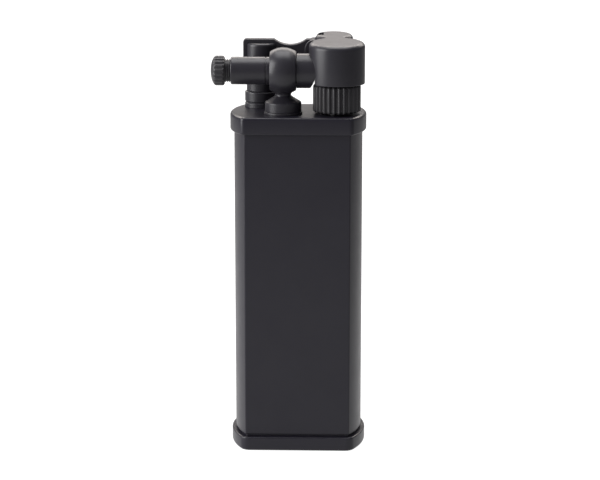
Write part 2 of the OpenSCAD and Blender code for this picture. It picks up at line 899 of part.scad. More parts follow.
module snuffer_cup() {
    color(black)
        difference() {
            translate([burner_x, burner_y]) {
                upright(cup_r, deck + cup_mouth, cup_top_z);
            }
            translate([burner_x, burner_y]) upright(cup_r - cup_wall, deck, pad_low + pad_h);
            block(
                [burner_x - 2 * cup_r, burner_y - arm_t / 2 - fit, arm_low_z],
                [burner_x + 2 * cup_r, burner_y + arm_t / 2 + fit, cup_top_z + over]
            );
        }
}

module snuffer_pad() {
    color(rubber)
        translate([burner_x, burner_y]) upright(cup_r - cup_wall - fit, pad_low, pad_low + pad_h);
}

// Filler valve and flame adjuster

module filler_body() {
    thread_top = filler_ledge + filler_thread_len;
    color(brass)
        translate([filler_right, 0])
            difference() {
                union() {
                    upright(filler_r, bottom_recess, filler_ledge);
                    upright(filler_thread_r, filler_ledge - slice, thread_top);
                }
                upright(filler_socket_r, -over, filler_guide_low);
                upright(filler_stem_r + run, -over, filler_ledge);
                upright(filler_chamber_r, filler_seal_low, filler_chamber_top);
                upright(filler_stem_r, filler_chamber_top - slice, thread_top + over);
            }
}

module filler_seal() {
    color(rubber)
        translate([filler_right, 0])
            upright_ring(
                filler_chamber_r - fit,
                filler_stem_r + run,
                filler_seal_low,
                filler_seal_low + filler_seal_h
            );
}

module filler_stem() {
    flange_top = filler_flange_low + filler_flange_h;
    color(brass)
        translate([filler_right, 0]) {
            upright(filler_stem_r, filler_tip, filler_flange_low + slice);
            upright(filler_chamber_r - run, filler_flange_low, flange_top);
            upright(filler_stem_r - run, flange_top - slice, flange_top + filler_flange_h);
        }
}

module filler_spring() {
    color(steel)
        translate([filler_right, 0, filler_spring_low])
            spring(
                "filler",
                filler_chamber_r - run - filler_wire_r - clear,
                filler_chamber_top - filler_spring_low,
                filler_turns,
                filler_wire_r
            );
}

module flame_adjuster() {
    color(brass)
        translate([-adjuster_left, 0])
            difference() {
                union() {
                    upright(adjuster_r, bottom_recess, bottom_recess + adjuster_h);
                    upright(adjuster_stem_r, bottom_recess + slice, adjuster_top);
                }
                translate([0, 0, bottom_recess]) cube([3 * adjuster_r, slot_w, 2 * slot_d], center = true);
            }
}

module adjuster_seal() {
    color(rubber)
        translate([-adjuster_left, 0])
            upright_ring(
                adjuster_stem_r + adjuster_seal_h,
                adjuster_stem_r + run,
                tank_floor_top,
                tank_floor_top + adjuster_seal_h
            );
}

body_sleeve();
top_plate();
bottom_cap();
fuel_tank();
tank_gasket();
tank_lid();
burner_shroud();
valve_body();
valve_seal();
ball_pillar();
pillar_washer();
plate_screws();
flint_tube();
tube_ring();
flint();
wheel_hood();
wheel_spindle();
spindle_washer();
hinge_pin();
arm_spring();
filler_body();
filler_seal();
adjuster_seal();
snuffer_arm();
snuffer_cup();
snuffer_pad();
thumb_wheel();
spark_wheel();
wheel_bush();
burner_nozzle();
nozzle_spring();
flint_plunger();
flint_spring();
flint_screw();
flame_adjuster();
filler_stem();
filler_spring();
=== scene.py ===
# %% [markdown]
# A lift-arm pipe lighter in satin black paint. The solids of the lighter arrive as a fixed frame, one
# object for each piece, already in place and already tied to the bodies that move. This lesson gives
# that frame its looks: pieces whose edges and flutes show in the light are made again as smooth
# surfaces, and every other piece gets a finish of its own.

import math

import bmesh
import bpy
import numpy as np
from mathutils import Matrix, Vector


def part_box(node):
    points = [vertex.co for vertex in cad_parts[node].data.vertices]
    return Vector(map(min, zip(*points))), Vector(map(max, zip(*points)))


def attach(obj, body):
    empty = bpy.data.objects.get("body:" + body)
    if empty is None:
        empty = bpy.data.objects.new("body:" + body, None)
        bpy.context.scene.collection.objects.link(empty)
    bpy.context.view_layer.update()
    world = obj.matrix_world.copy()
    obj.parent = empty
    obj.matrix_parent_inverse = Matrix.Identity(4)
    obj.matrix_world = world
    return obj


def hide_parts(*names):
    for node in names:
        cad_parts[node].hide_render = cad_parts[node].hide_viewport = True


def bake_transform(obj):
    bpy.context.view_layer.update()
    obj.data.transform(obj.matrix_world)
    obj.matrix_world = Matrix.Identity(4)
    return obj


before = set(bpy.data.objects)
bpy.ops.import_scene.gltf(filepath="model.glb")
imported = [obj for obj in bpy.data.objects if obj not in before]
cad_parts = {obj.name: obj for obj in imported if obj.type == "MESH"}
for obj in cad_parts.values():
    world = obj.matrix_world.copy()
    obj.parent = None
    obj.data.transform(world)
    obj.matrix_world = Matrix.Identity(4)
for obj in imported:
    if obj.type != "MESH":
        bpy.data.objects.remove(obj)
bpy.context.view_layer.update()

# %% [markdown]
# The frame is in metres, but a lighter is easier to think about in millimetres. All shapes below are
# worked out in millimetres and scaled once, when the mesh is made. The height of the collar's top, the
# deck, is measured from the frame, because everything in the head stands on it.

# %% Millimetres and the deck
MM = 0.001


def box_mm(node):
    """Lowest and highest corner of a node, in millimetres."""
    low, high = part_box(node)
    return np.array(low) / MM, np.array(high) / MM


DECK = box_mm("top_plate")[1][2]
print(f"deck at {DECK:.2f} mm")

# %% [markdown]
# Nearly every piece of a lighter is turned on a lathe or pressed from bar, so two kinds of grid make
# them all. A turned piece is a profile carried round an axis. A pressed piece is one closed outline
# carried through a stack of heights. Both are grids whose columns close on themselves, so they share
# one function for their faces.

# %% Faces of a closed grid
SAME_POINT = 1e-4


def wrap_faces(rows, cols, loop_rows):
    """Quads between neighbouring rows and columns. Columns close, and rows close where loop_rows is set."""
    row = np.arange(rows if loop_rows else rows - 1)[:, None]
    col = np.arange(cols)[None, :]
    next_row = (row + 1) % rows
    next_col = (col + 1) % cols
    corners = (row * cols + col, row * cols + next_col, next_row * cols + next_col, next_row * cols + col)
    return np.stack(corners, -1).reshape(-1, 4)


def shell_mesh(name, grid, loop_rows):
    """The mesh of a grid in millimetres. Where its rows don't close, a flat face shuts the first and the
    last row, unless all of that row is one point."""
    rows, cols, _ = grid.shape
    faces = wrap_faces(rows, cols, loop_rows).tolist()
    open_ends = () if loop_rows else (0, rows - 1)
    for end in open_ends:
        if np.ptp(grid[end], axis=0).max() > SAME_POINT:
            faces.append((np.arange(cols) + end * cols).tolist())
    mesh = bpy.data.meshes.new(name)
    mesh.from_pydata((grid.reshape(-1, 3) * MM).tolist(), [], faces)
    shape = bmesh.new()
    shape.from_mesh(mesh)
    bmesh.ops.remove_doubles(shape, verts=shape.verts, dist=SAME_POINT * MM)
    bmesh.ops.recalc_face_normals(shape, faces=shape.faces)
    shape.to_mesh(mesh)
    shape.free()
    return mesh


def shell_object(name, shell):
    """An object at the origin from a grid and the flag that says whether the grid's rows close."""
    piece = bpy.data.objects.new(name, shell_mesh(name, *shell))
    bpy.context.scene.collection.objects.link(piece)
    return piece


# %% [markdown]
# Painted metal has no knife edges: the edge is broken with a file and the paint rounds it further. A
# thin line of light runs along every such edge, and it is most of what the eye reads as real metal. So
# each profile has its corners rounded before it is carried anywhere, and each long straight run gets a
# support point near its ends, which keeps the smooth shading of a corner from leaking over a flat face.

# %% Rounded profiles
RUN_SHARE, TINY, REPEAT = 0.48, 1e-9, 1e-5


def round_corners(points, radii, closed, steps=6):
    """Each corner becomes a curve from a point r tan(turn/2) before it to one as far after it, drawn as
    a parabola (1-s)^2 A + 2 s (1-s) P + s^2 B. It takes a little under half of a run at most."""
    points = np.asarray(points, float)
    radii = np.broadcast_to(np.asarray(radii, float), len(points)).copy()
    back = np.roll(points, 1, axis=0) - points
    ahead = np.roll(points, -1, axis=0) - points
    back_len = np.linalg.norm(back, axis=1) + TINY
    ahead_len = np.linalg.norm(ahead, axis=1) + TINY
    back /= back_len[:, None]
    ahead /= ahead_len[:, None]
    if not closed:
        radii[[0, -1]] = 0
    cosine = np.clip(-(back * ahead).sum(1), -1, 1)
    reach = radii * np.tan(np.arccos(cosine) / 2)
    reach = np.minimum(reach, RUN_SHARE * np.minimum(back_len, ahead_len))[:, None]
    s = np.linspace(0, 1, steps)[None, :, None]
    before = (points + back * reach)[:, None]
    after = (points + ahead * reach)[:, None]
    curve = (1 - s) ** 2 * before + 2 * s * (1 - s) * points[:, None] + s**2 * after
    return drop_repeats(curve.reshape(-1, 2), closed)


def drop_repeats(points, closed):
    """The points without those that lie on the one before them."""
    gap = np.linalg.norm(points - np.roll(points, 1, axis=0), axis=1)
    if not closed:
        gap[0] = 1
    return points[gap > REPEAT]


def with_support(points, closed, near=0.06):
    """Two points are added to each long run, a small distance in from its ends."""
    ends = np.roll(points, -1, axis=0) if closed else points[1:]
    starts = points if closed else points[:-1]
    run = ends - starts
    length = np.linalg.norm(run, axis=1)[:, None]
    step = np.where(length > 4 * near, near / np.maximum(length, TINY), 0) * run
    full = np.stack([starts, starts + step, ends - step], 1).reshape(-1, 2)
    if not closed:
        full = np.vstack([full, points[-1:]])
    return drop_repeats(full, closed)


# %% [markdown]
# The lathe. A profile is a list of radius and distance along the axis. Each row of the grid is one of
# its points and each column one angle. The axis may point up, along the flint tube or along the hinge's
# pin. A flute or a ridge is a cut that depends on the angle and on the row, so the lathe can take a
# depth to subtract from the radius.


# %% Turned pieces
def lathe(profile, centre, axis="z", turns=144, cut=None):
    """Radius r and distance h carried round an axis through the centre: across = (r - cut) cos a,
    other = (r - cut) sin a, along = h. The cut is an array of rows by angles."""
    angle = np.linspace(0, 2 * np.pi, turns, endpoint=False)
    radius = profile[:, :1] * np.ones(turns)
    if cut is not None:
        radius = radius - cut(profile, angle)
    along = profile[:, 1:] * np.ones(turns)
    first = radius * np.cos(angle)
    second = radius * np.sin(angle)
    order = {"z": (first, second, along), "x": (along, first, second), "y": (second, along, first)}[axis]
    return np.stack(order, -1) + np.asarray(centre, float)


def turned(points, radii, centre, axis="z", ring=False, turns=144, cut=None):
    """A rounded and supported profile on the lathe, with the flag that says whether its rows close."""
    profile = with_support(round_corners(points, radii, ring), ring)
    return lathe(profile, centre, axis, turns, cut), ring


# %% [markdown]
# Holes, slots and joined forms are cut the way a mill would cut them: a second solid is taken away from
# the first or welded to it. Blender's Boolean does this exactly, and its result is kept as the piece's
# own mesh so that no helper object is left behind.

# %% Milling and welding
DRILL_TURNS = 96


def mill(piece, tool, way="DIFFERENCE"):
    """The tool's solid is taken from the piece or joined to it, and the tool is removed."""
    step = piece.modifiers.new("mill", "BOOLEAN")
    step.object = tool
    step.operation = way
    step.solver = "EXACT"
    depsgraph = bpy.context.evaluated_depsgraph_get()
    milled = bpy.data.meshes.new_from_object(piece.evaluated_get(depsgraph))
    piece.modifiers.clear()
    rough = piece.data
    piece.data = milled
    milled.name = piece.name
    bpy.data.meshes.remove(rough)
    bpy.data.meshes.remove(tool.data)


def drill(radius, low, high, centre, axis="z"):
    """A plain round tool between two distances along an axis."""
    profile = np.array([[0, low], [radius, low], [radius, high], [0, high]], float)
    return shell_object("tool", (lathe(profile, centre, axis, DRILL_TURNS), False))


def block_tool(low, high):
    """A square tool between two corners, as four corners carried through two heights."""
    x = np.array([low[0], high[0], high[0], low[0]])
    y = np.array([low[1], low[1], high[1], high[1]])
    rows = [np.stack([x, y, np.full(4, z)], -1) for z in (low[2], high[2])]
    return shell_object("tool", (np.stack(rows), False))


def bar_tool(loop, start, end):
    """A tool with one section, a closed loop of y and z, between two distances along x."""
    x = np.array([start, end])[:, None] * np.ones(len(loop))
    section = np.broadcast_to(loop, (2, *loop.shape))
    return shell_object("tool", (np.dstack([x, section]), False))


# %% [markdown]
# A finished piece is smooth where its faces meet at a small angle and sharp elsewhere. It rides on a
# body of the frame and stands in for the node that it was made from.


# %% Fit a finished piece to the frame
def dress(piece, finish, crease):
    """Smooth shading up to an angle in degrees, and the piece's material."""
    mesh = piece.data
    mesh.polygons.foreach_set("use_smooth", np.ones(len(mesh.polygons), bool))
    mesh.set_sharp_from_angle(angle=math.radians(crease))
    mesh.materials.clear()
    mesh.materials.append(finish)
    print(f"{piece.name}: {len(mesh.vertices)} points, {len(mesh.polygons)} faces")


def fit_piece(piece, body, node, finish, crease=38):
    """Shading, material, body and node of a finished piece."""
    dress(piece, finish, crease)
    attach(piece, body)
    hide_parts(node)


# %% [markdown]
# Satin black is a baked paint on brass. Its colour is nearly black with a cool cast, its gloss is soft,
# and close up it has a very fine orange peel. Broad, faint clouds change the gloss from place to place,
# as handling does. All of it is noise read on object coordinates, so it stays with the metal.

# %% Paint
NOISE_LOW, NOISE_HIGH = 0.3, 0.7
CLOUD_SCALE, HANDLING_SCALE, PEEL_SCALE = 140, 420, 3200
PAINT_IOR = 1.36


def node_finish(name):
    """A new material with its shader and the object coordinates that its pattern reads."""
    finish = bpy.data.materials.new(name)
    finish.use_nodes = True
    nodes = finish.node_tree.nodes
    shader = nodes["Principled BSDF"]
    place = nodes.new("ShaderNodeTexCoord").outputs["Object"]
    return finish, nodes, finish.node_tree.links, shader, place


def noise(nodes, links, place, scale, detail=3.0, rough=0.55):
    """A noise pattern with so many features to the metre."""
    pattern = nodes.new("ShaderNodeTexNoise")
    pattern.inputs["Scale"].default_value = scale
    pattern.inputs["Detail"].default_value = detail
    pattern.inputs["Roughness"].default_value = rough
    links.new(place, pattern.inputs["Vector"])
    return pattern.outputs["Fac"]


def spread(nodes, links, value, low, high):
    """A pattern's middle range spread between two values."""
    scale = nodes.new("ShaderNodeMapRange")
    scale.inputs["From Min"].default_value = NOISE_LOW
    scale.inputs["From Max"].default_value = NOISE_HIGH
    scale.inputs["To Min"].default_value = low
    scale.inputs["To Max"].default_value = high
    links.new(value, scale.inputs["Value"])
    return scale.outputs["Result"]


def tint(nodes, links, value, dark, light):
    """A pattern's middle range turned into colours between a dark and a light one."""
    ramp = nodes.new("ShaderNodeValToRGB")
    ramp.color_ramp.elements[0].position = NOISE_LOW
    ramp.color_ramp.elements[1].position = NOISE_HIGH
    ramp.color_ramp.elements[0].color = (*dark, 1)
    ramp.color_ramp.elements[1].color = (*light, 1)
    links.new(value, ramp.inputs["Fac"])
    return ramp.outputs["Color"]


def relief(nodes, links, shader, value, depth):
    """A bump of a depth in metres on the shader's normal."""
    bump = nodes.new("ShaderNodeBump")
    bump.inputs["Strength"].default_value = 1.0
    bump.inputs["Distance"].default_value = depth
    links.new(value, bump.inputs["Height"])
    links.new(bump.outputs["Normal"], shader.inputs["Normal"])


def satin_black(name, dark, light, gloss, peel):
    """Black paint: cloudy tint, cloudy roughness between two values, fine peel of a depth in metres."""
    finish, nodes, links, shader, place = node_finish(name)
    clouds = noise(nodes, links, place, CLOUD_SCALE, 4)
    handling = noise(nodes, links, place, HANDLING_SCALE, 5, 0.65)
    links.new(tint(nodes, links, clouds, dark, light), shader.inputs["Base Color"])
    links.new(spread(nodes, links, handling, *gloss), shader.inputs["Roughness"])
    relief(nodes, links, shader, noise(nodes, links, place, PEEL_SCALE, 2), peel)
    shader.inputs["IOR"].default_value = PAINT_IOR
    return finish


case_black = satin_black("case_black", (0.010, 0.009, 0.014), (0.012, 0.011, 0.016), (0.28, 0.34), 2e-7)
head_black = satin_black("head_black", (0.015, 0.014, 0.018), (0.019, 0.018, 0.022), (0.32, 0.38), 3e-7)
grip_black = satin_black("grip_black", (0.023, 0.022, 0.024), (0.030, 0.029, 0.031), (0.31, 0.41), 6e-7)
print("paints:", case_black.name, head_black.name, grip_black.name)

# %% [markdown]
# The case is a drawn sleeve with a flat front and back and bowed sides. Its outline is two wide arcs
# for the sides, four small arcs for the upright edges and straight runs between them. Growing the
# outline moves every arc out by the same amount, so the sleeve, the collar and the cap share it.

# %% Outline of the case
sleeve_low, sleeve_high = box_mm("body_sleeve")
HALF_W, HALF_D = sleeve_high[0], sleeve_high[1]
SIDE_BULGE, SUPPORT = 2.0, 0.08
SIDE_R = (HALF_D**2 + SIDE_BULGE**2) / (2 * SIDE_BULGE)


def arc(centre, radius, start, end, count):
    """Points at a radius from a centre, between two angles in radians."""
    a = np.linspace(start, end, count)
    return np.stack([centre[0] + radius * np.cos(a), centre[1] + radius * np.sin(a)], -1)


def case_outline(grow, height, upright):
    """The sleeve's outline moved out by grow: side arcs about the middle line, joined to the flat front
    and back by arcs of the upright edges' radius, as one row of points at a height."""
    inner = grow - upright
    side_x = HALF_W - SIDE_R
    corner_y = HALF_D + inner
    swing = math.asin(corner_y / (SIDE_R + inner))
    corner_x = side_x + (SIDE_R + inner) * math.cos(swing)
    quarter = math.pi / 2
    flat_end = corner_x - SUPPORT
    right = [
        np.array([[flat_end, -corner_y - upright]]),
        arc((corner_x, -corner_y), upright, -quarter, -swing, 11),
        arc((side_x, 0), SIDE_R + grow, -swing, swing, 41)[1:-1],
        arc((corner_x, corner_y), upright, swing, quarter, 11),
        np.array([[flat_end, corner_y + upright]]),
    ]
    right = np.concatenate(right)
    loop = np.concatenate([right, -right])
    return np.column_stack([loop, np.full(len(loop), height)])


def case_rows(steps, upright):
    """A grid of outlines from pairs of grow and height."""
    return np.stack([case_outline(grow, height, upright) for grow, height in steps])


print(f"case {2 * HALF_W:.1f} x {2 * HALF_D:.1f} mm, side arcs of {SIDE_R:.2f} mm")

# %% [markdown]
# The sleeve is a tube: the outline goes up the outside, over the wall and down the inside, and the
# last row joins the first. Its lower end steps in to a narrow neck, which leaves the dark shadow line
# that is seen all round above the cap.

# %% Sleeve
SLEEVE_WALL, SLEEVE_EDGE_R = 0.5, 0.3
NECK_IN, NECK_H, NECK_EDGE = 0.3, 0.4, 0.1
neck_top = sleeve_low[2] + NECK_H
sleeve_steps = [
    (-NECK_IN, sleeve_low[2]),
    (-NECK_IN, neck_top),
    (-NECK_EDGE, neck_top),
    (0, neck_top + NECK_EDGE),
    (0, sleeve_high[2]),
    (-SLEEVE_WALL, sleeve_high[2]),
    (-SLEEVE_WALL, sleeve_low[2]),
]
sleeve = shell_object("sleeve_skin", (case_rows(sleeve_steps, SLEEVE_EDGE_R), True))
fit_piece(sleeve, "case", "body_sleeve", case_black)

# %% [markdown]
# The collar and the cap are proud of the sleeve, with both outer edges rounded, and more so at the ends
# of the case than next to the sleeve. Their stack of rows is a quarter circle at each edge: inset
# r (1 - cos a), height r (1 - sin a). A narrower plug goes into the sleeve.

# %% Collar and cap
RIM, END_R, STEP_R = 0.65, 0.5, 0.22
PLUG_GROW = -0.55
COLLAR_EDGE_R, CAP_EDGE_R = 0.9, 1.6


def rim_steps(low, high, low_r, high_r):
    """Grow and height up the outside of a rim with both edges rounded, and a support row at each face."""
    a = np.linspace(0, np.pi / 2, 8)
    inset, rise = 1 - np.cos(a), 1 - np.sin(a)
    bottom = np.column_stack([RIM - low_r * inset, low + low_r * rise])[::-1]
    top = np.column_stack([RIM - high_r * inset, high - high_r * rise])
    low_flat, high_flat = RIM - low_r - SUPPORT, RIM - high_r - SUPPORT
    return np.vstack([[low_flat, low], bottom, top, [high_flat, high]])


collar_low = sleeve_high[2]
plug_low = box_mm("top_plate")[0][2]
plug = np.array([[PLUG_GROW, plug_low], [PLUG_GROW, collar_low]])
collar_steps = np.vstack([plug, rim_steps(collar_low, DECK, STEP_R, END_R)])
collar = shell_object("collar_skin", (case_rows(collar_steps, COLLAR_EDGE_R), False))

cap_high = sleeve_low[2]
cap_plug = box_mm("bottom_cap")[1][2]
cap_steps = np.vstack([rim_steps(0, cap_high, END_R, STEP_R), [PLUG_GROW, cap_high], [PLUG_GROW, cap_plug]])
cap = shell_object("cap_skin", (case_rows(cap_steps, CAP_EDGE_R), False))
print(f"collar {collar_low:.1f} to {DECK:.1f} mm, cap 0 to {cap_high:.1f} mm, {RIM} mm proud")

# %% [markdown]
# The collar is drilled where the valve, the spindle and the screws go through it, with room below for
# the heads of the spindle and the screws. The cap's two holes are stepped, so each is a list of radius and
# depth. Every drill starts well past the face that it enters.


# %% Holes in the collar and the cap
def centre_of(node):
    """Middle of a node in plan."""
    low, high = box_mm(node)
    return (low[:2] + high[:2]) / 2


BURNER = centre_of("burner_shroud")
WHEEL = centre_of("thumb_wheel")
PILLAR = centre_of("pillar_washer")
FILLER = centre_of("filler_body")
ADJUSTER = centre_of("flame_adjuster")
STEM_HOLE_R = 1.02
SCREW_HOLE_R, SCREW_DEPTH, SCREW_HEAD_R, SCREW_HEAD_H = 0.82, 2.43, 1.42, 1.0
FILLER_STEPS = ((2.42, 3), (1.72, 6))
ADJUSTER_STEPS = ((2.25, 1.95), (1.05, 6))
POST_SHIFT, POST_SCREW_GAP, WHEEL_ROOM_R = 0.65, 1.1, 4.3
PAST = 1
post_screw = WHEEL + np.array([-POST_SHIFT, WHEEL_ROOM_R + POST_SCREW_GAP])
screw_head_top = plug_low + SCREW_HEAD_H
collar_holes = (
    (BURNER, STEM_HOLE_R),
    (WHEEL, STEM_HOLE_R),
    (PILLAR, SCREW_HOLE_R),
    (post_screw, SCREW_HOLE_R),
)

for hole, radius in collar_holes:
    mill(collar, drill(radius, plug_low - PAST, DECK + PAST, (*hole, 0)))
for hole in (WHEEL, PILLAR, post_screw):
    mill(collar, drill(SCREW_HEAD_R, plug_low - PAST, screw_head_top, (*hole, 0)))
for hole, steps in ((FILLER, FILLER_STEPS), (ADJUSTER, ADJUSTER_STEPS)):
    for radius, depth in steps:
        mill(cap, drill(radius, -PAST, depth, (*hole, 0)))
fit_piece(collar, "case", "top_plate", case_black)
fit_piece(cap, "case", "bottom_cap", case_black)

# %% [markdown]
# The burner shroud is a short turned tube with a waist above its foot. The snuffer cup that closes on it
# is a deep turned barrel, open below and slotted above for the arm.

# %% Burner shroud and snuffer cup
SHROUD_R, SHROUD_H, SHROUD_BORE, SHROUD_FLOOR = 2.85, 2.75, 1.6, 0.2
WAIST_LOW, WAIST_Z, WAIST_HIGH, WAIST_IN = 0.75, 0.94, 1.125, 0.19
shroud_profile = [
    (STEM_HOLE_R, 0),
    (SHROUD_R, 0),
    (SHROUD_R, WAIST_LOW),
    (SHROUD_R - WAIST_IN, WAIST_Z),
    (SHROUD_R, WAIST_HIGH),
    (SHROUD_R, SHROUD_H),
    (SHROUD_BORE, SHROUD_H),
    (SHROUD_BORE, SHROUD_FLOOR),
    (STEM_HOLE_R, SHROUD_FLOOR),
]
shroud_rounding = [0, 0.05, 0.1, 0.06, 0.1, 0.22, 0.2, 0.05, 0]
shroud = shell_object("shroud_skin", turned(shroud_profile, shroud_rounding, (*BURNER, DECK), ring=True))
fit_piece(shroud, "case", "burner_shroud", head_black)

cup_low, cup_high = box_mm("snuffer_cup")
CUP_R = (cup_high[1] - cup_low[1]) / 2
CUP_WALL, CUP_SLOT_REACH = 0.55, 4
ARM_T, SLIP = 1.8, 0.02
roof = box_mm("snuffer_pad")[1][2]
cup_profile = [
    (0, cup_high[2]),
    (CUP_R, cup_high[2]),
    (CUP_R, cup_low[2]),
    (CUP_R - CUP_WALL, cup_low[2]),
    (CUP_R - CUP_WALL, roof),
    (0, roof),
]
cup = shell_object("cup_skin", turned(cup_profile, [0, 0.45, 0.12, 0.12, 0.05, 0], (*BURNER, 0)))
ARM_LOW = box_mm("snuffer_arm")[0][2]
slot_low = (BURNER[0] - CUP_SLOT_REACH, BURNER[1] - ARM_T / 2 - SLIP, ARM_LOW)
slot_high = (BURNER[0] + CUP_SLOT_REACH, BURNER[1] + ARM_T / 2 + SLIP, cup_high[2] + PAST)
mill(cup, block_tool(slot_low, slot_high))
fit_piece(cup, "arm", "snuffer_cup", head_black)

# %% [markdown]
# The arm and the fork that holds it are cut from plate. A plate is a closed side view carried across its
# thickness. The rows near each face move in along the outline's normals, which breaks the edge.


# %% Plates
def side_outline(points, radii):
    """A closed side view with rounded corners and supported runs."""
    return with_support(round_corners(points, radii, True), True)


def inset_rows(loop, insets):
    """Copies of a counter-clockwise loop, each moved in along the loop's normals: the normal is the
    direction from the point before to the point after, turned a quarter."""
    along = np.roll(loop, -1, axis=0) - np.roll(loop, 1, axis=0)
    along /= np.linalg.norm(along, axis=1)[:, None]
    outward = np.column_stack([along[:, 1], -along[:, 0]])
    return loop[None] - np.asarray(insets)[:, None, None] * outward[None]


def plate(loop, front, back, edge):
    """A closed side view carried from front to back: rows move in by e (1 - cos a) along the loop's
    normals while they come within e (1 - sin a) of a face."""
    a = np.linspace(0, np.pi / 2, 6)
    inset = np.append(edge * (1 - np.cos(a)), edge + SUPPORT)
    depth = np.append(edge * (1 - np.sin(a)), 0)
    flat = inset_rows(loop, np.concatenate([inset[::-1], inset]))
    depths = np.concatenate([front + depth[::-1], back - depth])
    across = np.broadcast_to(depths[:, None], flat.shape[:2])
    return np.stack([flat[..., 0], across, flat[..., 1]], -1)


# %% [markdown]
# The side view of the snuffer arm has a square end with a rounded top corner, a finger dip, a round hinge
# eye and a step underneath.

# %% Snuffer arm
arm_low, arm_high = box_mm("snuffer_arm")
pin_low, pin_high = box_mm("hinge_pin")
HINGE = (pin_low + pin_high)[[0, 2]] / 2
EYE_R, EYE_STEP, EYE_HOLE_R, ARM_EDGE = 1.5, 0.3, 0.65, 0.16
DIP_X, DIP_W, DIP_DEPTH, DIP_EDGE_R = -1.5, 5.5, 0.95, 0.9
dip_r = (DIP_W**2 / 4 + DIP_DEPTH**2) / (2 * DIP_DEPTH)
dip_half = math.asin(DIP_W / 2 / dip_r)
step_x = HINGE[0] - EYE_R - EYE_STEP
eye_low = HINGE[1] - EYE_R
ramp_x = step_x - (eye_low - arm_low[2])
underside = np.array(
    [[arm_low[0], arm_low[2]], [ramp_x, arm_low[2]], [step_x, eye_low], [HINGE[0], eye_low]]
)
eye = arc(HINGE, EYE_R, -math.pi / 2, math.pi / 2, 33)[1:]
dip_turn = -math.pi / 2
dip = arc((DIP_X, arm_high[2] + dip_r - DIP_DEPTH), dip_r, dip_turn + dip_half, dip_turn - dip_half, 25)
end = np.array([[arm_low[0], arm_high[2]]])
dip_radii = np.zeros(len(dip))
dip_radii[[0, -1]] = DIP_EDGE_R
arm_radii = [np.array([0.15, 0.4, 0.4, 0]), np.zeros(len(eye)), dip_radii, np.array([0.6])]
arm_loop = side_outline(np.concatenate([underside, eye, dip, end]), np.concatenate(arm_radii))
arm = shell_object("arm_skin", (plate(arm_loop, arm_low[1], arm_high[1], ARM_EDGE), False))
mill(arm, drill(EYE_HOLE_R, arm_low[1] - PAST, arm_high[1] + PAST, (HINGE[0], 0, HINGE[1]), "y"))
fit_piece(arm, "arm", "snuffer_arm", head_black)

# %% [markdown]
# The ball pillar carries the flint tube. The ball is turned about the tube's axis, with its sides cut
# flat and their edges broken. The pillar under it is turned about the upright: a foot, a cone and a thin
# neck. The two are welded into one piece and the screw hole is drilled from below.

# %% Ball pillar and its washer
tube_low, tube_high = box_mm("flint_tube")
AXIS_Y, AXIS_Z = (tube_low + tube_high)[1:] / 2
BALL_R, BALL_W, BALL_EDGE, TUBE_R = 3.88, 4.36, 0.45, 2.3
WASHER_R, WASHER_H = 3.2, 0.4
FOOT_R, FOOT_TOP, NECK_TOP = 3.03, 1.95, 3.62
ball_x = PILLAR[0]
flat_angle = math.asin(BALL_W / 2 / BALL_R)
dome = arc((0, 0), BALL_R, flat_angle, -flat_angle, 41)
ball_profile = np.vstack([[TUBE_R + SLIP, BALL_W / 2], dome, [TUBE_R + SLIP, -BALL_W / 2]])
ball_radii = np.zeros(len(ball_profile))
flat_rims = [1, -2]
ball_radii[flat_rims] = BALL_EDGE
ball_middle = (ball_x, AXIS_Y, AXIS_Z)
ball = shell_object("pillar_skin", turned(ball_profile, ball_radii, ball_middle, "x", True, 192))
thin_neck = [(1.35, 3.0), (1.3, 3.3), (1.55, NECK_TOP)]
pillar_profile = [(0, WASHER_H), (FOOT_R, WASHER_H), (FOOT_R, FOOT_TOP), *thin_neck, (0, NECK_TOP)]
pillar_radii = [0, 0.08, 0.22, 0.5, 0.3, 0, 0]
mill(ball, shell_object("tool", turned(pillar_profile, pillar_radii, (ball_x, AXIS_Y, DECK))), "UNION")
mill(ball, drill(SCREW_HOLE_R, -PAST, SCREW_DEPTH, (ball_x, AXIS_Y, DECK)))
fit_piece(ball, "case", "ball_pillar", head_black)

washer_profile = [
    (SCREW_HOLE_R, 0),
    (WASHER_R, 0),
    (WASHER_R, WASHER_H),
    (SCREW_HOLE_R, WASHER_H),
]
washer = shell_object("washer_skin", turned(washer_profile, [0, 0.04, 0.12, 0], (*PILLAR, DECK), ring=True))
fit_piece(washer, "case", "pillar_washer", head_black)

# %% [markdown]
# The flint tube and the ring on its right are plain turned tubes. A fine groove beside the ball marks
# where the tube was faced. Both are made too long, and then their right ends are cut hollow, to the curve
# of the round hood they meet.

# %% Flint tube and ring
ring_low = box_mm("tube_ring")[0]
groove_x = PILLAR[0] - BALL_W / 2 - TUBE_R / 4
GROOVE, TUBE_BORE = 0.167, 1.3
SADDLE_R, ROUGH_END = 4.5, 3
tube_end = WHEEL[0] - ROUGH_END
tube_profile = [
    (TUBE_R, tube_low[0]),
    (TUBE_R, groove_x - GROOVE),
    (TUBE_R - GROOVE, groove_x - GROOVE),
    (TUBE_R - GROOVE, groove_x),
    (TUBE_R, groove_x),
    (TUBE_R, tube_end),
    (TUBE_BORE, tube_end),
    (TUBE_BORE, tube_low[0]),
]
tube_radii = [0.25, 0.05, 0.02, 0.02, 0.05, 0.1, 0.1, 0.1]
tube = shell_object("tube_skin", turned(tube_profile, tube_radii, (0, AXIS_Y, AXIS_Z), axis="x", ring=True))

